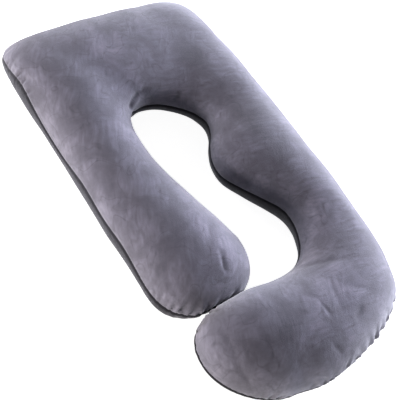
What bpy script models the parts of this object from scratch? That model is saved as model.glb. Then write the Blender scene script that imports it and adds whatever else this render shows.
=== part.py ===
"""Full body pregnancy pillow in the shape of a G, lying on its back panel.

Two velvet panels of the same outline are sewn edge to edge and stuffed. The left arm ends short,
the right arm hooks round under it, and the two ends press against each other.
Metres, +Z up, +Y towards the head end. The origin is under the middle of the pillow.
"""

import math

import bmesh
import bpy
from mathutils import Vector

# Overall size, as the pillow lies. The section table below is drawn for it.
WIDTH = 0.70
LENGTH = 1.30

# Stuffing and seam
SEAM_HEIGHT = 0.076     # on the inner side of the arms, and on the two ends
BELLY = 0.018           # how far the underside would hang below the floor if nothing held it up
TOP_FULLNESS = 2.2      # 2 is an elliptical section, more is a squarer one
UNDER_FULLNESS = 2.0
SEAM_DRAW = 0.0035      # how deep the stitching draws the seam in
GATHER_REACH = 0.034    # how far from the seam the gathers die out

# Where the two ends press on each other: the face between them, and half the slit that stays open
CONTACT_Y = -0.3455
CONTACT_SLIT = 0.0012
CONTACT_FROM_X = -0.30
CONTACT_TO_X = 0.02

# Where the points of each rib lie: angles from the seam up to the ridge, and below the seam
# shares of the angle at which the underside meets the floor
TOP_ANGLES = (75, 58, 41, 25, 11, 2.6)
UNDER_SHARES = (0.055, 0.28, 0.62, 1.0)

STEP = 0.027            # the widest step between two ribs along the seam
FINE_STEPS = 16         # steps in each row of the table while the seam is being paced out
END_STEPS = 260         # and round each of the two ends

# Sections across the stuffing, from the short arm's end round the head to the hook's end.
# outer and inner are the two seam points, outer_z is how high the seam runs on the outer side,
# ridge is the share of the way from outer to inner at which the stuffing is highest, and crown is
# its height there.
SECTION_COLUMNS = ("outer_x", "outer_y", "outer_z", "inner_x", "inner_y", "ridge", "crown")
SECTIONS = (
    # short arm
    (-0.346, -0.200, 0.082, -0.042, -0.212, 0.50, 0.176),
    (-0.348, -0.105, 0.087, -0.062, -0.125, 0.50, 0.173),
    (-0.349, 0.005, 0.083, -0.094, -0.008, 0.50, 0.163),
    (-0.345, 0.115, 0.072, -0.118, 0.105, 0.50, 0.156),
    (-0.343, 0.230, 0.068, -0.120, 0.195, 0.50, 0.157),
    (-0.344, 0.350, 0.070, -0.108, 0.247, 0.49, 0.164),
    (-0.351, 0.470, 0.082, -0.089, 0.279, 0.47, 0.170),
    # left corner of the head end
    (-0.349, 0.560, 0.086, -0.069, 0.285, 0.46, 0.171),
    (-0.334, 0.611, 0.078, -0.052, 0.289, 0.46, 0.171),
    (-0.286, 0.634, 0.074, -0.037, 0.290, 0.46, 0.172),
    (-0.180, 0.646, 0.074, -0.020, 0.288, 0.47, 0.175),
    # head end
    (-0.030, 0.650, 0.075, 0.001, 0.282, 0.48, 0.178),
    (0.110, 0.648, 0.075, 0.023, 0.271, 0.48, 0.177),
    # right corner of the head end
    (0.222, 0.640, 0.075, 0.043, 0.257, 0.47, 0.174),
    (0.289, 0.607, 0.075, 0.062, 0.242, 0.47, 0.172),
    (0.319, 0.531, 0.075, 0.081, 0.223, 0.47, 0.170),
    (0.333, 0.435, 0.075, 0.097, 0.200, 0.48, 0.167),
    # long arm, with the swelling that supports the waist
    (0.344, 0.330, 0.076, 0.108, 0.165, 0.50, 0.164),
    (0.348, 0.230, 0.076, 0.095, 0.123, 0.50, 0.164),
    (0.350, 0.135, 0.076, 0.063, 0.079, 0.50, 0.170),
    (0.348, 0.050, 0.076, 0.041, 0.033, 0.50, 0.176),
    (0.348, -0.035, 0.076, 0.040, -0.019, 0.50, 0.177),
    (0.349, -0.115, 0.076, 0.070, -0.074, 0.50, 0.172),
    (0.349, -0.195, 0.076, 0.109, -0.131, 0.50, 0.163),
    (0.345, -0.280, 0.074, 0.142, -0.186, 0.50, 0.157),
    # hook
    (0.337, -0.371, 0.072, 0.145, -0.235, 0.50, 0.156),
    (0.319, -0.462, 0.070, 0.131, -0.280, 0.50, 0.161),
    (0.283, -0.547, 0.068, 0.108, -0.317, 0.50, 0.168),
    (0.209, -0.598, 0.068, 0.073, -0.344, 0.50, 0.173),
    (0.116, -0.629, 0.070, 0.027, -0.356, 0.50, 0.176),
    (0.025, -0.645, 0.068, -0.025, -0.356, 0.51, 0.178),
    (-0.060, -0.648, 0.061, -0.080, -0.348, 0.54, 0.179),
    (-0.135, -0.630, 0.056, -0.135, -0.340, 0.60, 0.179),
)

# The two rounded ends: how far each reaches past its last section, and how square it is on the
# inner and on the outer side
END_COLUMNS = ("reach", "inner_square", "outer_square")
ARM_END = (0.145, 2.6, 2.5)
HOOK_END = (0.180, 2.7, 1.72)

# Runs of seam where the cloth is gathered into puckers, each round a middle point
GATHER_COLUMNS = ("x", "y", "radius", "depth")
GATHERS = (
    (-0.250, -0.315, 0.150, 0.0065),    # round the short arm's end
    (0.130, -0.610, 0.240, 0.0070),     # under the hook, the strongest
    (-0.180, -0.600, 0.150, 0.0035),    # the hook's end
    (-0.345, 0.520, 0.100, 0.0045),     # beside the left corner of the head end
)
PUCKER_PITCH = 0.027
LEAST_GATHER = 0.0008   # seam that is gathered less than this gets only evenly spaced ribs

VELVET_COLOUR = (0.130, 0.124, 0.160, 1.0)
VELVET_ROUGHNESS = 0.85


def clear_scene():
    for obj in list(bpy.data.objects):
        bpy.data.objects.remove(obj, do_unlink=True)


def row_at(place):
    """The section at a place between two rows, on a smooth curve through all of them."""
    index = min(int(place), len(SECTIONS) - 2)
    t = place - index
    before = SECTIONS[max(index - 1, 0)]
    start, end = SECTIONS[index], SECTIONS[index + 1]
    after = SECTIONS[min(index + 2, len(SECTIONS) - 1)]
    values = [
        0.5 * (2 * b + (c - a) * t + (2 * a - 5 * b + 4 * c - d) * t**2
               + (3 * b - 3 * c + d - a) * t**3)
        for a, b, c, d in zip(before, start, end, after)
    ]
    return dict(zip(SECTION_COLUMNS, values))


def section_at(place):
    """Outer seam point, inner seam point, ridge point and crown of the section at a place."""
    row = row_at(place)
    outer = Vector((row["outer_x"], row["outer_y"], row["outer_z"]))
    inner = Vector((row["inner_x"], row["inner_y"], SEAM_HEIGHT))
    return outer, inner, outer.lerp(inner, row["ridge"]), row["crown"]


def end_point(place, end, turn):
    """A seam point on a rounded end, where turn runs from 0 at the inner seam to 1 at the outer."""
    outer, inner, ridge, _ = section_at(place)
    size = dict(zip(END_COLUMNS, end))
    chord = (outer - inner).normalized()
    onward = Vector((chord.y, -chord.x, 0.0)) * (1 if place > 0 else -1)
    angle = math.pi * turn
    side, square = (inner, size["inner_square"]) if turn < 0.5 else (outer, size["outer_square"])
    across = abs(math.cos(angle)) ** (2 / square)
    along = math.sin(angle) ** (2 / square) if 0 < turn < 1 else 0.0
    return ridge + (side - ridge) * across + onward * size["reach"] * along


def gather_depth(point):
    """How deep the puckers are beside a point of the seam."""
    depth = 0.0
    for values in GATHERS:
        run = dict(zip(GATHER_COLUMNS, values))
        away = math.hypot(point.x - run["x"], point.y - run["y"]) / run["radius"]
        depth = max(depth, run["depth"] * max(0.0, 1 - away**4))
    return depth


def pucker_phase(distance):
    """The puckers' phase in turns, a little uneven, as a hand-fed seam is."""
    uneven = 0.32 * math.sin(distance * 31.0) + 0.22 * math.sin(distance * 73.0 + 1.0)
    return distance / PUCKER_PITCH + uneven


def trough_at(point, distance):
    """How deep the cloth is drawn in at a point of the seam by the trough of a pucker."""
    wave = 0.5 + 0.5 * math.cos(2 * math.pi * pucker_phase(distance))
    strength = 0.72 + 0.28 * math.sin(distance * 47.0)
    return gather_depth(point) * strength * wave


def paced_out(points):
    """Picks the places along a fine run of seam where ribs stand.

    points are (place, seam point, distance). A rib stands on each trough and each ridge of a
    gathered run, and every STEP elsewhere.
    """
    chosen = [points[0]]
    for before, now in zip(points, points[1:]):
        gathered = gather_depth(now[1]) > LEAST_GATHER
        half_turn = int(2 * pucker_phase(now[2])) != int(2 * pucker_phase(before[2]))
        far = now[2] - chosen[-1][2] > STEP
        crowded = now[2] - chosen[-1][2] < PUCKER_PITCH / 5
        if far or (gathered and half_turn and not crowded):
            chosen.append(now)
    if points[-1][2] - chosen[-1][2] < PUCKER_PITCH / 4:
        chosen.pop()
    return chosen + [points[-1]]


def fine_run(point_at, places, distance):
    """(place, seam point, distance along the seam) for each place of a fine run."""
    run = []
    for place in places:
        point = point_at(place)
        if run:
            distance += (point - run[-1][1]).length
        run.append((place, point, distance))
    return run


def spread(start, end, steps):
    return [start + (end - start) * i / steps for i in range(steps + 1)]


def ribs_round_the_seam():
    """Each rib as (seam point, ridge index, depth of its trough), once round the whole seam.

    The order is the short arm's end, the outer side, the hook's end, and the inner side back.
    Also gives the ridge, as (point, crown) for each section that has ribs.
    """
    last = len(SECTIONS) - 1
    arm = fine_run(lambda t: end_point(0, ARM_END, t), spread(0, 1, END_STEPS), 0.0)
    outer = fine_run(lambda p: section_at(p)[0], spread(0, last, last * FINE_STEPS), arm[-1][2])
    hook = fine_run(lambda t: end_point(last, HOOK_END, 1 - t), spread(0, 1, END_STEPS),
                    outer[-1][2])
    arm, outer, hook = paced_out(arm), paced_out(outer), paced_out(hook)

    sections = [section_at(place) for place, _, _ in outer]
    ridge = [(point, crown) for _, _, point, crown in sections]
    seam = [(point, 0, distance) for _, point, distance in arm[:-1]]
    seam += [(point, i, distance) for i, (_, point, distance) in enumerate(outer)]
    seam += [(point, len(outer) - 1, distance) for _, point, distance in hook[1:-1]]

    ribs = [(point, index, trough_at(point, distance)) for point, index, distance in seam]
    for index in reversed(range(1, len(outer))):
        ribs.append((sections[index][1], index, 0.0))
    return ribs, ridge


def press_ends(point, is_hook):
    """Stops a point at the face where the short arm's end and the hook press on each other."""
    near = CONTACT_FROM_X < point.x < CONTACT_TO_X
    if is_hook and near:
        point.y = min(point.y, CONTACT_Y - CONTACT_SLIT)
    elif near:
        point.y = max(point.y, CONTACT_Y + CONTACT_SLIT)
    return point


def rib_point(seam, ridge, angle, tall, fullness, trough):
    """A point of a rib at an angle from the seam to the ridge, on a curve that is tall high."""
    share = math.cos(angle) ** (2 / fullness)
    rise = math.sin(angle) ** (2 / fullness) * tall
    from_seam = math.hypot((1 - share) * math.dist(seam.xy, ridge.xy), rise)
    sunk = trough * math.exp(-((from_seam / GATHER_REACH) ** 2))
    inward = (ridge.xy - seam.xy).normalized() * sunk
    plan = ridge.xy + (seam.xy - ridge.xy) * share + inward
    return Vector((plan.x, plan.y, max(0.0, seam.z + rise)))


def rib_points(seam, ridge, crown, trough):
    """The points of a rib, from just below the ridge over the seam to the edge of the flat."""
    points = []
    for angle in TOP_ANGLES:
        rise = crown - seam.z
        points.append(rib_point(seam, ridge, math.radians(angle), rise, TOP_FULLNESS, trough))
    drawn = seam + Vector((ridge.x - seam.x, ridge.y - seam.y, 0.0)).normalized() * SEAM_DRAW
    points.append(drawn)
    drop = seam.z + BELLY
    floor = math.asin((seam.z / drop) ** (UNDER_FULLNESS / 2))
    for share in UNDER_SHARES:
        points.append(rib_point(seam, ridge, floor * share, -drop, UNDER_FULLNESS, trough))
    points[-1].z = 0.0
    return points


def pillow_mesh():
    """The stuffed form as one closed mesh, rib by rib."""
    ribs, ridge = ribs_round_the_seam()
    mesh = bmesh.new()
    top = [mesh.verts.new((p.x, p.y, crown)) for p, crown in ridge]
    keel = [mesh.verts.new((p.x, p.y, 0.0)) for p, _ in ridge]
    strips = []
    for seam, index, trough in ribs:
        point, crown = ridge[index]
        is_hook = index > len(ridge) // 2
        rib = [press_ends(p, is_hook) for p in rib_points(seam, point, crown, trough)]
        strips.append([top[index]] + [mesh.verts.new(p) for p in rib] + [keel[index]])
    for here, there in zip(strips, strips[1:] + strips[:1]):
        for a, b, c, d in zip(here, here[1:], there[1:], there):
            corners = [a, b, c] if d is a else [a, b, d] if c is b else [a, b, c, d]
            mesh.faces.new(corners)
    bmesh.ops.recalc_face_normals(mesh, faces=mesh.faces)
    return mesh


def fit_to_size(mesh):
    """Gives the outline its full width and length, with its middle over the origin."""
    for axis, size in ((0, WIDTH), (1, LENGTH)):
        values = [v.co[axis] for v in mesh.verts]
        middle = (min(values) + max(values)) / 2
        scale = size / (max(values) - min(values))
        for v in mesh.verts:
            v.co[axis] = (v.co[axis] - middle) * scale


def velvet():
    material = bpy.data.materials.new("grey velvet")
    material.use_nodes = True
    shader = material.node_tree.nodes["Principled BSDF"]
    shader.inputs["Base Color"].default_value = VELVET_COLOUR
    shader.inputs["Roughness"].default_value = VELVET_ROUGHNESS
    shader.inputs["Metallic"].default_value = 0.0
    return material


def make_pillow():
    form = pillow_mesh()
    fit_to_size(form)
    data = bpy.data.meshes.new("stuffed_pillow")
    form.to_mesh(data)
    form.free()
    data.shade_smooth()
    data.materials.append(velvet())
    pillow = bpy.data.objects.new("stuffed_pillow", data)
    bpy.context.scene.collection.objects.link(pillow)
    return pillow


def main():
    clear_scene()
    make_pillow()


main()
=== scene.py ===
# %% [markdown]
# # A full body pregnancy pillow in grey velvet
# The real pillow is two velvet panels, cut to the outline of a G, sewn together along their edges
# and filled with loose fibre. This lesson dresses a plain model of it. The plain model gives the
# size and the place. The cells below make the cover again, much finer, then blow it up with a cloth
# simulation, gather its seam, press creases into it and give it the look of brushed velvet.

# %% Load the plain model
import math
import random

import bpy
import numpy as np
from mathutils import Matrix, Vector, kdtree, noise


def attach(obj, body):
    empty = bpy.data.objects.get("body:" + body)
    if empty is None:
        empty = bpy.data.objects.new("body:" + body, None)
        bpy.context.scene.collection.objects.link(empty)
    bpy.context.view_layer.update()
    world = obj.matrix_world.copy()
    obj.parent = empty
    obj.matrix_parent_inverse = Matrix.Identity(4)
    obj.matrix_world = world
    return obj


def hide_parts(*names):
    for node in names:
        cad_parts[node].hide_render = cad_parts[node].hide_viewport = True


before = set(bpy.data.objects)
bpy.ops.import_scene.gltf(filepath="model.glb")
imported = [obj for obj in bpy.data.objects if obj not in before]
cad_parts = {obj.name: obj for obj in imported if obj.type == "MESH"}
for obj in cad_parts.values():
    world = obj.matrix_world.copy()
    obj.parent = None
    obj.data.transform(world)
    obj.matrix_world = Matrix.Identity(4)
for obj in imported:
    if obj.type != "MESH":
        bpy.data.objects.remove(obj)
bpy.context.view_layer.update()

# %% [markdown]
# ## The outline as a table of sections
# A long curved form is easy to describe by sections across it, as a boat builder does. Each row
# is one cut through the stuffing: the widest point on the outer side and its height, the widest
# point on the inner side, how far across the stuffing is highest, and its height. The last two
# numbers say how high the seam runs on each side. It is often a little above the widest point,
# so that the dark back panel shows below it.
# The rows start at the end of the short arm, go round the head end and down the long arm, and end
# in the hook. Drawing the outline as one flat curve would be quicker, but it would not say which
# outer point belongs to which inner point, and the folds follow those lines.

# %% Section table
SECTION_COLUMNS = (
    "outer_x", "outer_y", "outer_z", "inner_x", "inner_y", "ridge", "crown",
    "outer_seam", "inner_seam",
)
SECTIONS = (
    # short arm
    (-0.346, -0.200, 0.082, -0.042, -0.212, 0.50, 0.176, 0.094, 0.090),
    (-0.348, -0.105, 0.087, -0.062, -0.125, 0.50, 0.173, 0.107, 0.084),
    (-0.349, 0.005, 0.083, -0.094, -0.008, 0.50, 0.163, 0.100, 0.082),
    (-0.345, 0.115, 0.072, -0.118, 0.105, 0.50, 0.156, 0.095, 0.082),
    (-0.343, 0.230, 0.068, -0.120, 0.195, 0.50, 0.157, 0.079, 0.083),
    (-0.344, 0.350, 0.070, -0.108, 0.247, 0.49, 0.164, 0.083, 0.085),
    (-0.351, 0.470, 0.082, -0.089, 0.279, 0.47, 0.170, 0.112, 0.086),
    # left corner of the head end
    (-0.349, 0.560, 0.086, -0.069, 0.285, 0.46, 0.171, 0.100, 0.082),
    (-0.334, 0.611, 0.078, -0.052, 0.289, 0.46, 0.171, 0.088, 0.081),
    (-0.286, 0.634, 0.074, -0.037, 0.290, 0.46, 0.172, 0.083, 0.081),
    (-0.180, 0.646, 0.074, -0.020, 0.288, 0.47, 0.175, 0.083, 0.081),
    # head end
    (-0.030, 0.650, 0.075, 0.001, 0.282, 0.48, 0.178, 0.084, 0.081),
    (0.110, 0.648, 0.075, 0.023, 0.271, 0.48, 0.177, 0.084, 0.081),
    # right corner of the head end
    (0.222, 0.640, 0.075, 0.043, 0.257, 0.47, 0.174, 0.083, 0.081),
    (0.289, 0.607, 0.075, 0.062, 0.242, 0.47, 0.172, 0.083, 0.081),
    (0.319, 0.531, 0.075, 0.081, 0.223, 0.47, 0.170, 0.083, 0.081),
    (0.333, 0.435, 0.075, 0.097, 0.200, 0.48, 0.167, 0.083, 0.081),
    # long arm, with the swelling that supports the waist
    (0.344, 0.330, 0.076, 0.108, 0.165, 0.50, 0.164, 0.084, 0.081),
    (0.348, 0.230, 0.076, 0.095, 0.123, 0.50, 0.164, 0.084, 0.081),
    (0.350, 0.135, 0.076, 0.063, 0.079, 0.50, 0.170, 0.084, 0.081),
    (0.348, 0.050, 0.076, 0.041, 0.033, 0.50, 0.176, 0.084, 0.081),
    (0.348, -0.035, 0.076, 0.040, -0.019, 0.50, 0.177, 0.084, 0.081),
    (0.349, -0.115, 0.076, 0.070, -0.074, 0.50, 0.172, 0.084, 0.081),
    (0.349, -0.195, 0.076, 0.109, -0.131, 0.50, 0.163, 0.083, 0.081),
    (0.345, -0.280, 0.074, 0.142, -0.186, 0.50, 0.157, 0.081, 0.081),
    # hook
    (0.337, -0.371, 0.072, 0.145, -0.235, 0.50, 0.156, 0.080, 0.080),
    (0.319, -0.462, 0.070, 0.131, -0.280, 0.50, 0.161, 0.079, 0.080),
    (0.283, -0.547, 0.068, 0.108, -0.317, 0.50, 0.168, 0.078, 0.080),
    (0.209, -0.598, 0.068, 0.073, -0.344, 0.50, 0.173, 0.077, 0.080),
    (0.116, -0.629, 0.070, 0.027, -0.356, 0.50, 0.176, 0.078, 0.080),
    (0.025, -0.645, 0.068, -0.025, -0.356, 0.51, 0.178, 0.074, 0.080),
    (-0.060, -0.648, 0.061, -0.080, -0.348, 0.54, 0.179, 0.066, 0.080),
    (-0.135, -0.630, 0.056, -0.135, -0.340, 0.60, 0.179, 0.060, 0.080),
)
INNER_Z = 0.076
LAST_ROW = len(SECTIONS) - 1


def sections_at(places):
    """The table's columns at fractional row places, on a smooth curve through the rows."""
    rows = np.array(SECTIONS)
    places = np.atleast_1d(np.asarray(places, float))
    first = np.clip(places.astype(int), 0, LAST_ROW - 1)
    t = (places - first)[:, None]
    a, b = rows[np.maximum(first - 1, 0)], rows[first]
    c, d = rows[first + 1], rows[np.minimum(first + 2, LAST_ROW)]
    bend = (2 * a - 5 * b + 4 * c - d) * t**2 + (3 * b - 3 * c + d - a) * t**3
    values = 0.5 * (2 * b + (c - a) * t + bend)
    return dict(zip(SECTION_COLUMNS, values.T))


print("sections:", len(SECTIONS), "rows, crown from",
      min(row[6] for row in SECTIONS), "to", max(row[6] for row in SECTIONS), "m")

# %% [markdown]
# ## Walking along the seam
# The seam runs once round the whole pillow: round the short arm's end, along the outer side,
# round the hook's end and back along the inner side. Where the cloth is gathered it carries
# puckers about 22 mm apart, and a mesh needs several points for each of them, so the walk takes
# short steps there and longer ones where the cloth is smooth. Evenly fine steps everywhere would
# work too, but they would spend most of the mesh on places where nothing happens.

# %% Seam walk
GATHER_COLUMNS = ("x", "y", "radius", "depth", "length")
GATHERS = (
    (-0.250, -0.315, 0.150, 0.0050, 0.026),     # round the short arm's end
    (0.130, -0.610, 0.240, 0.0070, 0.033),      # under the hook, the strongest
    (-0.180, -0.600, 0.150, 0.0026, 0.026),     # the hook's end
    (-0.345, 0.520, 0.100, 0.0045, 0.034),      # beside the left corner of the head end
)
END_COLUMNS = ("reach", "inner_square", "outer_square")
ARM_END = dict(zip(END_COLUMNS, (0.147, 2.6, 2.50)))
HOOK_END = dict(zip(END_COLUMNS, (0.182, 2.7, 1.72)))
SEAM_ABOVE_GIRTH = 0.004
UNDER_FULLNESS = 2.0    # 2 is an elliptical underside, less is a sharper edge
END_FULLNESS = 1.6
PLAIN_STEP = 0.0115
GATHERED_STEP = 0.0072
FULL_GATHER = 0.004     # puckers this deep get the short steps


def section_points(places):
    """Outer and inner girth points and ridge points at the places.

    A girth point is x, y, z, the seam's height, and how full the underside is there.
    """
    row = sections_at(places)
    level = np.full(len(row["outer_x"]), INNER_Z)
    full = np.full(len(level), UNDER_FULLNESS)
    outer = np.stack([row[c] for c in ("outer_x", "outer_y", "outer_z", "outer_seam")] + [full], 1)
    inner = np.stack([row["inner_x"], row["inner_y"], level, row["inner_seam"], full], 1)
    ridge = (outer + (inner - outer) * row["ridge"][:, None])[:, :3]
    ridge[:, 2] = row["crown"]
    return outer, inner, ridge


def end_curve(place, end, onward_sign):
    """The girth round a rounded end, from the inner point to the outer one."""
    outer, inner, ridge = (p[0] for p in section_points(place))
    level = (outer + inner)[2] / 2
    hub = np.array([ridge[0], ridge[1], level, level + SEAM_ABOVE_GIRTH, END_FULLNESS])
    chord = (outer - inner)[:2] / np.linalg.norm((outer - inner)[:2])
    onward = np.array([chord[1], -chord[0], 0.0, 0.0, 0.0]) * onward_sign
    turn = np.linspace(0, 1, 400)
    first_half = turn[:, None] < 0.5
    side = np.where(first_half, inner, outer)
    square = np.where(first_half, end["inner_square"], end["outer_square"])
    across = np.abs(np.cos(np.pi * turn[:, None])) ** (2 / square)
    along = np.maximum(np.sin(np.pi * turn[:, None]), 0) ** (2 / square)
    return hub + (side - hub) * across + onward * end["reach"] * along


def gathered(points):
    """How deep the puckers are beside each point, and how long."""
    depth, length = np.zeros(len(points)), np.zeros(len(points))
    for values in GATHERS:
        run = dict(zip(GATHER_COLUMNS, values))
        away = np.hypot(points[:, 0] - run["x"], points[:, 1] - run["y"]) / run["radius"]
        here = run["depth"] * np.clip(1 - away**4, 0, 1)
        length = np.where(here > depth, run["length"], length)
        depth = np.maximum(depth, here)
    return depth, length


def paced(points):
    """Fractional indices into a fine run of points, a step apart that suits the gathers."""
    strong = np.clip(gathered(points)[0] / FULL_GATHER, 0, 1)
    step = PLAIN_STEP + (GATHERED_STEP - PLAIN_STEP) * strong
    lengths = np.linalg.norm(np.diff(points[:, :3], axis=0), axis=1)
    cost = np.concatenate([[0], np.cumsum(lengths / step[1:])])
    count = int(math.ceil(cost[-1]))
    return np.interp(np.linspace(0, cost[-1], count + 1), cost, np.arange(len(points)))


def taken(points, indices):
    low = np.clip(indices.astype(int), 0, len(points) - 2)
    return points[low] + (points[low + 1] - points[low]) * (indices - low)[:, None]


fine_places = np.linspace(0, LAST_ROW, LAST_ROW * 40 + 1)
fine_outer = section_points(fine_places)[0]
side_places = taken(fine_places[:, None], paced(fine_outer))[:, 0]
outer_girth, inner_girth, ridge_line = section_points(side_places)
arm_curve = end_curve(0.0, ARM_END, -1)
hook_curve = end_curve(float(LAST_ROW), HOOK_END, 1)[::-1]
arm_girth = taken(arm_curve, paced(arm_curve))
hook_girth = taken(hook_curve, paced(hook_curve))

girth = np.concatenate([arm_girth[:-1], outer_girth, hook_girth[1:-1], inner_girth[:0:-1]])
seam_z = girth[:, 3]
under_fullness = girth[:, 4:5]
girth = girth[:, :3]
last_hub = len(side_places) - 1
middle_hub = last_hub // 2
hubs = np.concatenate([
    np.zeros(len(arm_girth) - 1, int), np.arange(last_hub + 1),
    np.full(len(hook_girth) - 2, last_hub), np.arange(last_hub, 0, -1),
])
steps = np.linalg.norm(np.roll(girth, -1, axis=0) - girth, axis=1)
print("girth:", round(steps.sum(), 2), "m long,", len(girth), "stations")

# %% [markdown]
# ## The cover before it is stuffed
# A rib runs from the widest point over the top to the ridge, with one ring of points on the seam,
# and another runs under the pillow to the flat patch that it lies on. Each rib is a rounded curve,
# a little squarer than an ellipse on top, because stuffing pushes a cover out at its shoulders.
# Rings of points lie close together at the seam, where the shape turns quickly, and wide apart at
# the ridge. The ribs of the two ends fan out from the last point of the ridge. A box with a
# Subdivision Surface would give a smooth form as well, but no rows of points that follow the seam.

# %% Ribs
TOP_RINGS = 17
SIDE_RINGS = 3          # between the seam and the girth, where the pillow is widest
UNDER_RINGS = 7
FLAT_RINGS = 2
RING_CROWDING = 1.35    # above 1, rings crowd towards the seam
TOP_FULLNESS = 2.2
BELLY = 0.018
CONTACT_Y = -0.3455
CONTACT_SLIT = 0.0020   # half the slit that stays open between the two ends
CONTACT_FROM_X, CONTACT_TO_X = -0.30, 0.02


def pressed(points, is_hook):
    """Holds the short arm's end and the hook back from the face where they meet."""
    near = (points[..., 0] > CONTACT_FROM_X) & (points[..., 0] < CONTACT_TO_X)
    hook_side = np.minimum(points[..., 1], CONTACT_Y - CONTACT_SLIT)
    arm_side = np.maximum(points[..., 1], CONTACT_Y + CONTACT_SLIT)
    kept = points.copy()
    kept[..., 1] = np.where(near, np.where(is_hook, hook_side, arm_side), points[..., 1])
    return kept


def rib_grid():
    """The points of every rib, from the first ring below the ridge to the flat patch."""
    crown = ridge_line[hubs]
    reach = girth[:, :2] - crown[:, :2]
    tall = (crown[:, 2] - girth[:, 2])[:, None]
    climb = np.maximum(seam_z - girth[:, 2], SEAM_ABOVE_GIRTH)[:, None]
    seam_angle = np.arcsin((climb / tall) ** (TOP_FULLNESS / 2))
    crowd = (np.arange(TOP_RINGS) / TOP_RINGS)[::-1] ** RING_CROWDING
    top = seam_angle + (math.pi / 2 - seam_angle) * crowd
    side = seam_angle * (1 - np.arange(1, SIDE_RINGS + 1) / SIDE_RINGS)
    angle = np.concatenate([top, side], 1)
    drop = girth[:, 2:3] + BELLY
    floor_angle = np.arcsin((girth[:, 2:3] / drop) ** (under_fullness / 2))
    under = floor_angle * (np.arange(1, UNDER_RINGS + 1) / UNDER_RINGS) ** RING_CROWDING
    under_share = np.cos(under) ** (2 / under_fullness)
    inner_rings = 1 - np.arange(1, FLAT_RINGS + 1) / (FLAT_RINGS + 1)
    share = np.concatenate([np.cos(angle) ** (2 / TOP_FULLNESS), under_share,
                            under_share[:, -1:] * inner_rings], 1)
    rise = np.concatenate([np.sin(angle) ** (2 / TOP_FULLNESS) * tall,
                           -np.sin(under) ** (2 / under_fullness) * drop,
                           np.repeat(-girth[:, 2:3], FLAT_RINGS, axis=1)], 1)
    plan = crown[:, None, :2] + reach[:, None, :] * share[..., None]
    height = np.maximum(girth[:, 2:3] + rise, 0.0)
    is_hook = (hubs > middle_hub)[:, None]
    return pressed(np.concatenate([plan, height[..., None]], 2), is_hook)


grid = rib_grid()
ring_count = grid.shape[1]
print("ribs:", len(grid), "with", ring_count, "points each")

# %% [markdown]
# ## From ribs to a closed mesh
# Neighbouring ribs are joined ring by ring with four-sided faces. The ribs of one section meet in
# a point on the ridge, and again in the point below it on the floor, so round the two ends the
# last faces have three sides. A shrink-wrapped sphere would be closed too, but its faces would
# not run along the seam, where the puckers need them.

# %% Cover mesh
def cover_faces(start, rings):
    """The faces between neighbouring ribs. A corner that comes twice in a face is left out."""
    faces = []
    for i in range(len(girth)):
        j = (i + 1) % len(girth)
        here = [hubs[i]] + [start + i * rings + k for k in range(rings)]
        there = [hubs[j]] + [start + j * rings + k for k in range(rings)]
        here.append(len(ridge_line) + hubs[i])
        there.append(len(ridge_line) + hubs[j])
        for a, b, c, d in zip(here, there, there[1:], here[1:]):
            faces.append([v for n, v in enumerate((a, b, c, d)) if v not in (a, b, c, d)[:n]])
    return faces


verts = np.concatenate([ridge_line, ridge_line * (1, 1, 0), grid.reshape(-1, 3)])
grid_start = 2 * len(ridge_line)
faces = cover_faces(grid_start, ring_count)
seam_ring = TOP_RINGS - 1
floor_ring = seam_ring + SIDE_RINGS + UNDER_RINGS
seam = verts[grid_start + seam_ring::ring_count]
cover_data = bpy.data.meshes.new("velvet_cover")
cover_data.from_pydata(verts.tolist(), [], faces)
cover = bpy.data.objects.new("velvet_cover", cover_data)
bpy.context.scene.collection.objects.link(cover)
ridge_half = np.arange(last_hub + 1) > middle_hub
half = np.concatenate([ridge_half, ridge_half, np.repeat(hubs > middle_hub, ring_count)])
cover_data.attributes.new("hook_half", "FLOAT", "POINT").data.foreach_set(
    "value", half.astype(np.float32))
print("cover:", len(verts), "vertices,", len(faces), "faces")

# %% [markdown]
# ## Stuffing it
# A real cover is pushed out from inside until the cloth is tight. Blender's Cloth does the same
# with a pressure. The seam and the flat patch underneath are pinned, gravity is off, and twenty
# frames are enough for the cloth to round itself between the pins. The result may only move a
# few millimetres, so that the pillow keeps its size. Moving vertices by hand could swell the
# form too, but the cloth also evens out the places where ribs of different length meet.

# %% Cloth under pressure
PRESSURE = 4.0
LAST_FRAME = 20
MOST_SWELL = 0.006


def coordinates(mesh):
    flat = np.empty(len(mesh.vertices) * 3, np.float32)
    mesh.vertices.foreach_get("co", flat)
    return flat.reshape(-1, 3).astype(float)


def set_coordinates(mesh, points):
    mesh.vertices.foreach_set("co", points.astype(np.float32).ravel())
    mesh.update()


def bake_modifiers(obj):
    """Replaces the object's mesh by what its modifiers make of it."""
    graph = bpy.context.evaluated_depsgraph_get()
    made = bpy.data.meshes.new_from_object(obj.evaluated_get(graph))
    obj.modifiers.clear()
    obj.data = made


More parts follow.
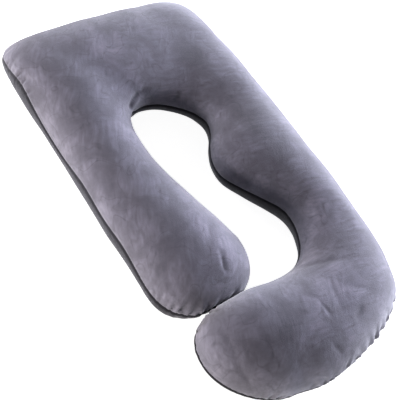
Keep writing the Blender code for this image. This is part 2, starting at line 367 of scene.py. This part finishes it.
def stuff(obj, pinned):
    """Rounds the cover with an inner pressure, held at the pinned vertices."""
    before = coordinates(obj.data)
    pins = obj.vertex_groups.new(name="pins")
    pins.add([int(v) for v in pinned], 1.0, "REPLACE")
    cloth = obj.modifiers.new("stuffing", "CLOTH")
    cloth.settings.quality = 6
    cloth.settings.mass = 0.2
    cloth.settings.tension_stiffness = 25
    cloth.settings.compression_stiffness = 25
    cloth.settings.shear_stiffness = 10
    cloth.settings.bending_stiffness = 2.0
    cloth.settings.use_pressure = True
    cloth.settings.uniform_pressure_force = PRESSURE
    cloth.settings.vertex_group_mass = pins.name
    cloth.settings.effector_weights.gravity = 0.0
    cloth.collision_settings.use_collision = False
    cloth.point_cache.frame_start, cloth.point_cache.frame_end = 1, LAST_FRAME
    for step in range(1, LAST_FRAME + 1):
        bpy.context.scene.frame_set(step)
    bake_modifiers(obj)
    obj.vertex_groups.clear()
    moved = coordinates(obj.data) - before
    length = np.linalg.norm(moved, axis=1, keepdims=True)
    moved *= np.minimum(1, MOST_SWELL / np.maximum(length, 1e-9))
    set_coordinates(obj.data, before + moved)
    bpy.context.scene.frame_set(1)
    return length.max(), np.linalg.norm(moved, axis=1).mean()


ring = np.arange(len(verts) - grid_start) % ring_count
held = grid_start + np.nonzero((ring == seam_ring) | (ring >= floor_ring))[0]
held = np.concatenate([np.arange(len(ridge_line), 2 * len(ridge_line)), held])
swell = stuff(cover, held)
print("stuffed: cloth moved at most", round(swell[0] * 1000, 1), "mm, kept on average",
      round(swell[1] * 1000, 1), "mm")

# %% [markdown]
# ## A finer surface
# One level of subdivision doubles the points each way and rounds the facets. Small folds are then
# pressed into the fine surface as small moves of its vertices along their normals.

# %% Subdivide
finer = cover.modifiers.new("finer", "SUBSURF")
finer.levels = finer.render_levels = 1
bake_modifiers(cover)
print("fine cover:", len(cover.data.vertices), "vertices,", len(cover.data.polygons), "faces")

# %% [markdown]
# ## How far each point is from the seam
# Folds start at the seam, so every vertex has to know its distance to it and its place along it.
# A KD tree of points a millimetre apart on the seam answers both at once. The short arm's end and
# the hook lie side by side, so each of them asks only its own part of the seam. A ring number
# would be a cheaper measure, but the cloth simulation has moved the rings by different amounts.

# %% Distance from the seam
SEAM_SAMPLE = 0.001
ENDS_BELOW_Y = -0.25    # the arm's end and the hook lie side by side below this


def seam_samples():
    """Points a millimetre apart along the seam, how far along each is, and which are hook."""
    closed = np.concatenate([seam, seam[:1]])
    along = np.concatenate([[0], np.cumsum(np.linalg.norm(np.diff(closed, axis=0), axis=1))])
    wanted = np.arange(0, along[-1], SEAM_SAMPLE)
    hook = np.interp(wanted, along[:-1], (hubs > middle_hub).astype(float)) > 0.5
    return np.stack([np.interp(wanted, along, closed[:, k]) for k in range(3)], 1), wanted, hook


def seam_fields(points, on_hook):
    """For each point, the distance to its own seam, how far along the seam, and if above it."""
    samples, along, hook = seam_samples()
    gap, nearest = np.zeros(len(points)), np.zeros(len(points), int)
    for side in (False, True):
        other_end = (hook != side) & (samples[:, 1] < ENDS_BELOW_Y)
        kept = np.nonzero(~other_end)[0]
        tree = kdtree.KDTree(len(kept))
        for index in kept:
            tree.insert(samples[index], index)
        tree.balance()
        for index in np.nonzero(on_hook == side)[0]:
            nearest[index], gap[index] = tree.find(points[index])[1:]
    return gap, along[nearest], points[:, 2] > samples[nearest][:, 2]


points = coordinates(cover.data)
half = np.empty(len(points), np.float32)
cover.data.attributes["hook_half"].data.foreach_get("value", half)
on_hook = half > 0.5
gap, run, above = seam_fields(points, on_hook)
print("distance to the seam: up to", round(gap.max() * 1000), "mm")

# %% [markdown]
# ## Puckers along the seam
# Sewing two flat panels round a tight curve leaves too much cloth at the edge. It bunches into
# puckers: narrow pinches beside the seam that widen and fade out a few centimetres away. The
# stitches hold the edge itself nearly straight. Each pucker has its own place, depth, length,
# width and lean, drawn from a seeded random row, because real ones are never even. A sine wave
# along the seam would be simpler and would look like a machine-made frill.

# %% Puckers
PUCKER_PITCH = 0.022
PUCKER_SEED = 11
UNDER_SHARE = 0.30      # how much of a pucker's depth shows on the back panel
EDGE_SHARE = 0.22       # how much of a pucker's depth is left right at the seam
PUCKER_ONSET = 0.006    # the distance from the seam over which it deepens
LEAST_PUCKER = 0.0008   # a shallower one would not show
PUCKER_HALF_RUN = 0.06  # no pucker reaches further than this along the seam


def pucker_row():
    """Each pucker as place along the seam, depth, length, width and lean."""
    rng = random.Random(PUCKER_SEED)
    samples, along, _ = seam_samples()
    depths, lengths = gathered(samples)
    row, place = [], 0.0
    while place < along[-1]:
        depth = depths[int(place / SEAM_SAMPLE)]
        if depth > LEAST_PUCKER:
            row.append((
                place,
                depth * rng.uniform(0.30, 1.30),
                lengths[int(place / SEAM_SAMPLE)] * rng.uniform(0.55, 1.4),
                rng.uniform(0.0026, 0.0044),
                rng.uniform(-0.45, 0.45),
            ))
        place += PUCKER_PITCH * rng.uniform(0.55, 1.45)
    return row


def pucker_depth(gap, run, above):
    """How far in the puckers draw the cloth at each point."""
    total = np.zeros(len(gap))
    for place, depth, length, width, lean in pucker_row():
        close = np.nonzero((gap < 2.5 * length) & (np.abs(run - place) < PUCKER_HALF_RUN))[0]
        g, across = gap[close], run[close] - place
        spread = width * (1 + 1.3 * g / length)
        offset = (across - lean * g) / spread
        pinch = np.exp(-offset**2) - 0.42 * np.exp(-((np.abs(offset) - 1.9) ** 2))
        onset = 1 - (1 - EDGE_SHARE) * np.exp(-((g / PUCKER_ONSET) ** 2))
        total[close] += depth * pinch * onset * np.exp(-((g / length) ** 2))
    return total * np.where(above, 1.0, UNDER_SHARE)


inward = pucker_depth(gap, run, above)
print("puckers:", len(pucker_row()), "deepest", round(inward.max() * 1000, 1), "mm")

# %% [markdown]
# ## Listed creases
# The photograph shows some single creases, where the stuffing bends and where the short arm
# bulges in front of the head end. Each is a line from one point to another with a width and a
# depth, and a negative depth makes a rim. Simulated cloth would crease somewhere else each time.

# %% Listed creases
CREASE_COLUMNS = ("from_x", "from_y", "to_x", "to_y", "width", "depth")
CREASES = (
    # short arm's end
    (-0.147, -0.241, -0.166, -0.290, 0.0045, 0.0040),
    (-0.120, -0.157, -0.196, -0.250, 0.0120, 0.0015),
    # where the short arm bulges in front of the head end's wall, with the rim beside it
    (-0.100, 0.281, -0.076, 0.303, 0.0055, 0.0048),
    (-0.076, 0.303, -0.052, 0.314, 0.0055, 0.0048),
    (-0.052, 0.314, -0.020, 0.314, 0.0055, 0.0030),
    (-0.105, 0.268, -0.080, 0.293, 0.0050, -0.0036),
    (-0.080, 0.293, -0.055, 0.304, 0.0050, -0.0036),
    # hook
    (0.046, -0.369, 0.154, -0.412, 0.0080, 0.0016),
    (0.067, -0.439, 0.040, -0.528, 0.0060, 0.0010),
    (0.104, -0.541, 0.069, -0.560, 0.0055, 0.0022),
    (-0.017, -0.455, 0.009, -0.474, 0.0055, 0.0012),
    (0.002, -0.482, 0.002, -0.520, 0.0055, 0.0014),
    (0.150, -0.510, 0.103, -0.485, 0.0055, 0.0012),
    (-0.032, -0.585, -0.012, -0.612, 0.0060, 0.0018),
    (-0.259, -0.416, -0.268, -0.508, 0.0070, 0.0016),
    (-0.268, -0.508, -0.255, -0.565, 0.0060, 0.0016),
)


def crease_depth(points, above):
    """How far in the listed creases press the top panel."""
    total = np.zeros(len(points))
    for values in CREASES:
        crease = dict(zip(CREASE_COLUMNS, values))
        start = np.array([crease["from_x"], crease["from_y"]])
        line = np.array([crease["to_x"], crease["to_y"]]) - start
        rel = points[:, :2] - start
        t = np.clip(rel @ line / (line @ line), 0, 1)
        away = np.linalg.norm(rel - t[:, None] * line, axis=1) / crease["width"]
        ends = np.sin(np.pi * np.clip(0.08 + 0.84 * t, 0, 1)) ** 0.7
        total += crease["depth"] * np.exp(-away**2) * ends * above
    return total


inward += crease_depth(points, above)
print("creases:", len(CREASES))

# %% [markdown]
# ## The seam line, the lumps and the final surface
# Stitches draw the edge of the two panels inwards, so the seam is a narrow valley. Loose fibre
# makes the broad shapes slightly lumpy, which smooth noise does well enough. All these moves are
# added up and made once, along the normals of the surface as it was before them. Points that lie
# on the floor stay there, and the two ends are pressed against each other again.

# %% Seam line, lumps and the final surface
SEAM_DEPTH = 0.0042
SEAM_WIDTH = 0.0065
LUMP_SIZE = 0.085
LUMP_HEIGHT = 0.0022
LUMPS_FROM_SEAM = 0.03  # the lumps fade out over this distance towards the seam
LYING_BELOW = 0.0015    # points lower than this lie on the floor and stay
SNAP_BELOW = 0.0006


def lumps(points):
    """Broad unevenness of the fibre filling."""
    return np.array([noise.noise(Vector(p) / LUMP_SIZE) for p in points]) * LUMP_HEIGHT


def vertex_normals(mesh):
    flat = np.empty(len(mesh.vertices) * 3, np.float32)
    mesh.vertex_normals.foreach_get("vector", flat)
    return flat.reshape(-1, 3).astype(float)


inward += SEAM_DEPTH * np.clip(1 - gap / SEAM_WIDTH, 0, 1) ** 1.4
outward = lumps(points) * np.clip(gap / LUMPS_FROM_SEAM, 0, 1) - inward
shaped = points + vertex_normals(cover.data) * outward[:, None]
lying = points[:, 2] < LYING_BELOW
shaped[lying] = points[lying]
shaped[:, 2] = np.where(shaped[:, 2] < SNAP_BELOW, 0.0, shaped[:, 2])
shaped = pressed(shaped, on_hook)
set_coordinates(cover.data, shaped)
cover.data.shade_smooth()
print("surface:", round(shaped[:, 2].max() * 1000), "mm high, lowest at",
      round(shaped[:, 2].min() * 1000, 2), "mm")

# %% [markdown]
# ## What the velvet has to know about the surface
# Four numbers go with each vertex: how much it faces up, which panel it is on, how deep it lies
# in a fold, and how much lighter or darker the pile is there as part of a whole patch. Facing up
# sets painted shade on the crown and painted light on the slopes. The back panel gets painted
# shade, and the depth of a fold sets painted shade in it. The cloth also shows patches about as
# large as a hand where the pile lies one way. The clearest of them are set as ovals, and the two
# on the short arm are a painted highlight. They were placed one by one, and their strengths are
# guesses. They could be painted as a picture, but a few ovals need no unwrapping.

# %% Facts of the surface that the velvet needs
def store(mesh, name, values):
    """Keeps one number for each vertex, for the material to read."""
    layer = mesh.attributes.new(name, "FLOAT", "POINT")
    layer.data.foreach_set("value", np.asarray(values, np.float32))


BRUSHED_COLUMNS = ("x", "y", "long", "wide", "turn", "change")
BRUSHED_AND_HIGHLIGHT = (
    # head end: a light stretch on the left, a dark one on the right
    (-0.08, 0.46, 0.10, 0.06, 90, 0.45),
    (0.17, 0.37, 0.08, 0.05, 60, -0.25),
    # short arm: a painted highlight along its inner side and towards its end
    (-0.16, 0.17, 0.09, 0.035, 90, 0.25),
    (-0.14, -0.19, 0.10, 0.05, 95, 0.50),
    # long arm: dark beside the swelling, light where it bends into the hook
    (0.20, 0.06, 0.14, 0.06, 90, -0.25),
    (0.20, -0.27, 0.08, 0.05, 60, 0.45),
    # hook: light in the middle, darker towards its end
    (0.06, -0.48, 0.13, 0.06, 20, 0.50),
    (-0.14, -0.49, 0.08, 0.05, 30, -0.20),
)


def brushed_and_highlight(points):
    """How much lighter or darker the pile is in the patches where it lies one way, with a painted
    highlight on the short arm.
    """
    total = np.zeros(len(points))
    for values in BRUSHED_AND_HIGHLIGHT:
        patch = dict(zip(BRUSHED_COLUMNS, values))
        turn = math.radians(patch["turn"])
        x, y = points[:, 0] - patch["x"], points[:, 1] - patch["y"]
        along = (x * math.cos(turn) + y * math.sin(turn)) / patch["long"]
        across = (y * math.cos(turn) - x * math.sin(turn)) / patch["wide"]
        total += patch["change"] * np.exp(-((along**2 + across**2) ** 2))
    return total


SEAM_BLUR = 0.002
FOLD_FULL = 0.004       # a fold this deep gets the full painted shade
upward = vertex_normals(cover.data)[:, 2]
signed_gap = np.where(above, gap, -gap)
# painted shade: the more a vertex faces up, the darker its colour; the slopes get painted light
store(cover.data, "crown", np.clip(upward, 0, 1) ** 2)
# painted shade: the back panel below the seam gets a much darker colour
store(cover.data, "top_panel", np.clip(0.5 + signed_gap / SEAM_BLUR, 0, 1))
# painted shade in the folds: the deeper a point lies in a fold, the darker its colour
store(cover.data, "fold_painted_shade", np.clip(inward / FOLD_FULL, 0, 1))
# the ovals of lighter and darker pile, with the painted highlight on the short arm
store(cover.data, "brushed", brushed_and_highlight(shaped))
print("facing up:", round(float((upward > 0.9).mean()), 2), "of the vertices")

# %% [markdown]
# ## Colours
# A colour is written as the sRGB hex code that an eye would pick from the screen, and one function
# turns it into the linear values that Blender calculates with. One more function adds a node with
# its settings and its links, so that a material reads as a list of what it is made of.
# The back panel is the same velvet. Its much darker grey is painted shade, as it is seen only in
# shade, and how dark it is is a guess.

# %% Colours and a node helper
def linear(code):
    """A colour written as an sRGB hex code, as the linear values that Blender works in."""
    channels = [int(code[i:i + 2], 16) / 255 for i in (1, 3, 5)]
    return [c / 12.92 if c <= 0.04045 else ((c + 0.055) / 1.055) ** 2.4 for c in channels] + [1.0]


def add_node(material, kind, settings=None, **inputs):
    """Adds a node. An input is a value or another node's socket, named, or i and its number."""
    node = material.node_tree.nodes.new(kind)
    for name, value in (settings or {}).items():
        setattr(node, name, value)
    for name, value in inputs.items():
        numbered = name[0] == "i" and name[1:].isdigit()
        socket = node.inputs[int(name[1:]) if numbered else name.replace("_", " ")]
        if isinstance(value, bpy.types.NodeSocket):
            material.node_tree.links.new(value, socket)
        else:
            socket.default_value = value
    return node


SLOPE_PILE_PAINTED_LIGHT = "#868391"
CROWN_PILE_PAINTED_SHADE = "#686575"
BACK_PILE_PAINTED_SHADE = "#25232a"
print("velvet:", SLOPE_PILE_PAINTED_LIGHT, "on the slopes,", CROWN_PILE_PAINTED_SHADE, "on the crown,", BACK_PILE_PAINTED_SHADE, "below")

# %% [markdown]
# ## Brush strokes in the pile
# Short-pile polyester velvet is a knit with a dense standing pile of fine fibres. A hand that
# strokes it leaves long narrow marks, lighter or darker than what is beside them. Noise that is
# stretched along one direction and bent a little by a second noise gives such marks. The pattern
# lies in real millimetres, so it needs no unwrapping and has no seams, as a picture would.

# %% Brush strokes
STREAK_MM = 10
BEND_MM = 90                    # the size of the waves that bend the strokes
BEND_BY = (0.03, 0.03, 0.03)
STROKE_STRETCH = (0.15, 1, 1)   # strokes are about seven times as long as wide


def brush_strokes(material, place, turn_degrees, shift):
    """Long, slightly bent strokes in one direction."""
    bend = add_node(material, "ShaderNodeTexNoise", Vector=place, Scale=1000 / BEND_MM, Detail=1.0)
    moved = add_node(material, "ShaderNodeVectorMath", {"operation": "MULTIPLY_ADD"},
                     i0=bend.outputs[1], i1=BEND_BY, i2=place)
    turned = add_node(material, "ShaderNodeMapping", i0=moved.outputs[0],
                      i1=(shift, shift, 0), i2=(0, 0, math.radians(turn_degrees)))
    long = add_node(material, "ShaderNodeVectorMath", {"operation": "MULTIPLY"},
                    i0=turned.outputs[0], i1=STROKE_STRETCH)
    strokes = add_node(material, "ShaderNodeTexNoise", Vector=long.outputs[0],
                       Scale=1000 / STREAK_MM, Detail=1.5, Distortion=0.2)
    return strokes.outputs[0]


print("strokes:", STREAK_MM, "mm wide")

# %% [markdown]
# ## How light the pile is
# Over the colour lie marks of several sizes: broad patches, smaller marks, the brush strokes, and
# soft thin lines that wind across the pile. They are added up to one number near 1. The strokes
# run one way on the short arm and another way on the long one, as they do in the photograph. One
# noise with much detail would be less work, but it looks like a cloud and not like brushed cloth.

# %% Tone of the pile
BROAD_MM = 62
MARK_MM = 15
LINE_MM = 62        # the thin lines wind across the pile about this far apart
BROAD_LOW, BROAD_HIGH = 0.78, 1.22
MARK_GAIN = 0.45
STROKE_GAIN = 1.0
LINE_SHADE = 0.26
LINE_HALF = 0.030   # half a line, as noise: about 2 mm
CHOICE_MM = 75      # the size of the patches that choose between the two directions
STROKE_TURNS = (-61, 12)


def pile_tone(material, place):
    """How light the brushed pile is, around 1, and the strokes by themselves."""
    broad = add_node(material, "ShaderNodeTexNoise", Vector=place, Scale=1000 / BROAD_MM,
                     Detail=1.5, Roughness=0.5, Distortion=0.4)
    marks = add_node(material, "ShaderNodeTexNoise", Vector=place, Scale=1000 / MARK_MM,
                     Detail=4.0, Roughness=0.65, Distortion=0.5)
    choice = add_node(material, "ShaderNodeTexNoise", Vector=place, Scale=1000 / CHOICE_MM, Detail=1.0)
    axes = add_node(material, "ShaderNodeSeparateXYZ", Vector=place)
    leaning = add_node(material, "ShaderNodeMath", {"operation": "MULTIPLY_ADD"},
                       i0=axes.outputs[0], i1=0.6, i2=choice.outputs[0])
    which = add_node(material, "ShaderNodeMapRange", Value=leaning.outputs[0], i1=0.45, i2=0.55)
    strokes = add_node(material, "ShaderNodeMix", {"data_type": "FLOAT"}, i0=which.outputs[0],
                       i2=brush_strokes(material, place, STROKE_TURNS[0], 0.0),
                       i3=brush_strokes(material, place, STROKE_TURNS[1], 3.0))
    spread = add_node(material, "ShaderNodeMapRange", Value=broad.outputs[0], i1=0.42, i2=0.58,
                      i3=0.25, i4=1.0)
    from_middle = add_node(material, "ShaderNodeMath", {"operation": "SUBTRACT"},
                           i0=strokes.outputs[0], i1=0.5)
    stroke_part = add_node(material, "ShaderNodeMath", {"operation": "MULTIPLY"},
                           i0=from_middle.outputs[0], i1=spread.outputs[0])
    broad_part = add_node(material, "ShaderNodeMapRange", {"clamp": False},
                          Value=broad.outputs[0], i1=0.3, i2=0.7, i3=BROAD_LOW, i4=BROAD_HIGH)
    mark_part = add_node(material, "ShaderNodeMath", {"operation": "MULTIPLY_ADD"},
                         i0=marks.outputs[0], i1=MARK_GAIN, i2=-0.5 * MARK_GAIN)
    both = add_node(material, "ShaderNodeMath", {"operation": "ADD"},
                    i0=broad_part.outputs[0], i1=mark_part.outputs[0])
    brushed = add_node(material, "ShaderNodeMath", {"operation": "MULTIPLY_ADD"},
                       i0=stroke_part.outputs[0], i1=STROKE_GAIN, i2=both.outputs[0])
    winding = add_node(material, "ShaderNodeTexNoise", Vector=place, Scale=1000 / LINE_MM,
                       Detail=0.5, Roughness=0.5, Distortion=0.9)
    off_line = add_node(material, "ShaderNodeMath", {"operation": "SUBTRACT"},
                        i0=winding.outputs[0], i1=0.5)
    away = add_node(material, "ShaderNodeMath", {"operation": "ABSOLUTE"}, i0=off_line.outputs[0])
    line = add_node(material, "ShaderNodeMapRange", Value=away.outputs[0], i1=0.0, i2=LINE_HALF,
                    i3=1.0, i4=0.0)
    faint = add_node(material, "ShaderNodeMath", {"operation": "MULTIPLY"},
                     i0=line.outputs[0], i1=spread.outputs[0])
    tone = add_node(material, "ShaderNodeMath", {"operation": "MULTIPLY_ADD"},
                    i0=faint.outputs[0], i1=-LINE_SHADE, i2=brushed.outputs[0])
    return tone.outputs[0], strokes.outputs[0], marks.outputs[0]


print("marks:", BROAD_MM, "and", MARK_MM, "mm, lines", LINE_MM, "mm apart")

# %% [markdown]
# ## Velvet
# Seen along the surface the fibre tips catch the light and it is bright, which the shader's sheen
# gives. Seen from above the eye looks down into the pile and it is dark, and that is painted shade:
# the crown gets the darker colour, and the slopes get the lighter one as painted light. The back
# panel gets a much darker colour, as painted shade. The pile is too fine to show as hairs, so it is
# a fine grain in the bump. Real hair would look right close by, but from a step away nobody could
# tell, and it would be slow.

# %% The velvet material
GRAIN_MM = 1.6      # the tufts of a real pile are finer, too fine to show at this size
FOLD_PAINTED_SHADE = 0.45   # painted shade: how much darker the pile is drawn deep in a fold


def short_pile_velvet():
    """Grey-violet short-pile polyester velvet, brushed by hand into lighter and darker marks, with
    painted light and shade.
    """
    material = bpy.data.materials.new("short_pile_polyester_velvet")
    material.use_nodes = True
    links = material.node_tree.links
    shader = material.node_tree.nodes["Principled BSDF"]
    place = add_node(material, "ShaderNodeTexCoord").outputs["Object"]
    tone, strokes, marks = pile_tone(material, place)
    facts = {}
    for name in ("crown", "top_panel", "fold_painted_shade", "brushed"):
        kind = {"attribute_name": name}
        facts[name] = add_node(material, "ShaderNodeAttribute", kind).outputs["Fac"]
    # painted shade in the folds
    shade = add_node(material, "ShaderNodeMath", {"operation": "MULTIPLY_ADD"},
                     i0=facts["fold_painted_shade"], i1=-FOLD_PAINTED_SHADE, i2=1.0)
    # the ovals, with the painted highlight on the short arm
    tone_with_patches = add_node(material, "ShaderNodeMath", {"operation": "MULTIPLY_ADD"}, i0=tone,
                       i1=facts["brushed"], i2=tone)
    light = add_node(material, "ShaderNodeMath", {"operation": "MULTIPLY"},
                     i0=tone_with_patches.outputs[0], i1=shade.outputs[0])
    # painted shade on the crown and painted light on the slopes: a lit and a shaded colour of one
    # velvet
    painted_crown_shade = add_node(material, "ShaderNodeMix", {"data_type": "RGBA"}, i0=facts["crown"],
                   i6=linear(SLOPE_PILE_PAINTED_LIGHT), i7=linear(CROWN_PILE_PAINTED_SHADE))
    # painted shade on the back panel
    panels = add_node(material, "ShaderNodeMix", {"data_type": "RGBA"}, i0=facts["top_panel"],
                      i6=linear(BACK_PILE_PAINTED_SHADE), i7=painted_crown_shade.outputs[2])
    colour = add_node(material, "ShaderNodeVectorMath", {"operation": "SCALE"},
                      i0=panels.outputs[2], Scale=light.outputs[0])
    links.new(colour.outputs[0], shader.inputs["Base Color"])
    grain = add_node(material, "ShaderNodeTexNoise", Vector=place, Scale=1000 / GRAIN_MM,
                     Detail=2.0)
    relief = add_node(material, "ShaderNodeMix", {"data_type": "FLOAT"}, i0=0.5, i2=marks,
                      i3=strokes)
    height = add_node(material, "ShaderNodeMix", {"data_type": "FLOAT"}, i0=0.35,
                      i2=relief.outputs[0], i3=grain.outputs[0])
    bump = add_node(material, "ShaderNodeBump", Strength=0.35, Distance=0.004,
                    Height=height.outputs[0])
    links.new(bump.outputs[0], shader.inputs["Normal"])
    shader.inputs["Roughness"].default_value = 0.9
    shader.inputs["Specular IOR Level"].default_value = 0.15
    shader.inputs["Sheen Weight"].default_value = 0.55
    shader.inputs["Sheen Roughness"].default_value = 0.5
    shader.inputs["Sheen Tint"].default_value = linear("#f4f4ff")
    return material


cover.data.materials.clear()
velvet = short_pile_velvet()
cover.data.materials.append(velvet)
print("velvet:", len(velvet.node_tree.nodes), "nodes")

# %% [markdown]
# ## Floor
# The pillow lies on a plain white ground. In the photograph that ground is blank white right up to
# the pillow, so nearly all of the floor's brightness is a glow of its own, and only a faint shadow
# is left on it. It doesn't light the pillow from below. A floor that only the lamps light would be
# more real, but it would be grey, with long shadows.

# %% Floor
FLOOR_SIZE = 40
FLOOR_GLOW = 0.93


def pale_floor():
    bpy.ops.mesh.primitive_plane_add(size=FLOOR_SIZE, location=(0, 0, -0.0004))
    floor = bpy.context.object
    floor.name = "floor"
    material = bpy.data.materials.new("matt_white_paper")
    material.use_nodes = True
    shader = material.node_tree.nodes["Principled BSDF"]
    shader.inputs["Base Color"].default_value = linear("#e8e8e8")
    shader.inputs["Roughness"].default_value = 0.9
    shader.inputs["Emission Color"].default_value = linear("#ffffff")
    shader.inputs["Emission Strength"].default_value = FLOOR_GLOW
    floor.data.materials.append(material)
    floor.visible_diffuse = False
    return floor


floor = pale_floor()
print("floor:", round(floor.dimensions.x, 1), "m wide")

# %% [markdown]
# ## Lights
# Four wide soft lamps stand low round the pillow, so that its slopes are brighter than its crown,
# as velvet looks in daylight from windows. The strongest is on the right and a little cool, and
# the one on the left is a little warm. The lower a lamp stands, the more the near arm shades the
# far one. One lamp overhead would be simpler, but it would make the crown the brightest place.

# %% Lights
LAMP_DISTANCE = 3.0
WORLD_LIGHT = 0.11


def soft_lamp(name, azimuth, elevation, size, watts, tint):
    """A square soft lamp. Azimuth 0 is in front of the pillow, 90 on its right."""
    lamp = bpy.data.lights.new(name, "AREA")
    lamp.shape = "SQUARE"
    lamp.size = size
    lamp.energy = watts
    lamp.color = linear(tint)[:3]
    holder = bpy.data.objects.new(name, lamp)
    a, e = math.radians(azimuth), math.radians(elevation)
    toward = Vector((math.sin(a) * math.cos(e), -math.cos(a) * math.cos(e), math.sin(e)))
    holder.location = toward * LAMP_DISTANCE
    holder.rotation_mode = "QUATERNION"
    holder.rotation_quaternion = toward.to_track_quat("Z", "Y")
    holder.visible_camera = False
    bpy.context.scene.collection.objects.link(holder)
    return holder


lamps = [
    soft_lamp("key", 90, 15, 1.2, 222, "#f4f8ff"),
    soft_lamp("front_right", 42, 8, 0.8, 66, "#f7f9ff"),
    soft_lamp("fill", 270, 7, 0.7, 86, "#fff9f2"),
    soft_lamp("back", 200, 14, 1.4, 74, "#fcfcff"),
]
world = bpy.data.worlds.new("studio")
bpy.context.scene.world = world
world.use_nodes = True
world.node_tree.nodes["Background"].inputs["Color"].default_value = linear("#ffffff")
world.node_tree.nodes["Background"].inputs["Strength"].default_value = WORLD_LIGHT
bpy.context.scene.view_settings.view_transform = "Standard"
print("lamps:", len(lamps), "with", round(sum(lamp.data.energy for lamp in lamps)), "W in all")

# %% [markdown]
# ## Camera
# The camera looks down at the pillow from its lower left and is rolled, so that the pillow runs
# from the top left to the bottom right of the picture. A long lens keeps the far end nearly as
# wide as the near one. The numbers fit the straight sides of the pillow in the photograph.

# %% Camera
FOCAL_MM = 63.0
CAMERA_AZIMUTH, CAMERA_ELEVATION, CAMERA_ROLL = -55.10, 54.53, 25.63
CAMERA_DISTANCE = 1.9554
LOOK_AT = Vector((-0.0614, -0.0549, 0.08))


def camera_at(azimuth, elevation, roll, distance, target):
    """A camera that looks at target, turned by roll about its own line of sight."""
    a, e, r = (math.radians(v) for v in (azimuth, elevation, roll))
    back = Vector((math.sin(a) * math.cos(e), -math.cos(a) * math.cos(e), math.sin(e)))
    right = Vector((0, 0, 1)).cross(back).normalized()
    up = back.cross(right)
    across = right * math.cos(r) + up * math.sin(r)
    upward = up * math.cos(r) - right * math.sin(r)
    data = bpy.data.cameras.new("camera")
    data.lens = FOCAL_MM
    camera = bpy.data.objects.new("camera", data)
    turned = Matrix((across, upward, back)).transposed()
    camera.matrix_world = Matrix.Translation(target + back * distance) @ turned.to_4x4()
    bpy.context.scene.collection.objects.link(camera)
    bpy.context.scene.camera = camera
    return camera


camera = camera_at(CAMERA_AZIMUTH, CAMERA_ELEVATION, CAMERA_ROLL, CAMERA_DISTANCE, LOOK_AT)
print("camera:", FOCAL_MM, "mm lens,", CAMERA_DISTANCE, "m from the pillow")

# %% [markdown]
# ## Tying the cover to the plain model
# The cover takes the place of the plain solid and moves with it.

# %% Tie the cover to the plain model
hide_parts("stuffed_pillow")
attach(cover, "root")
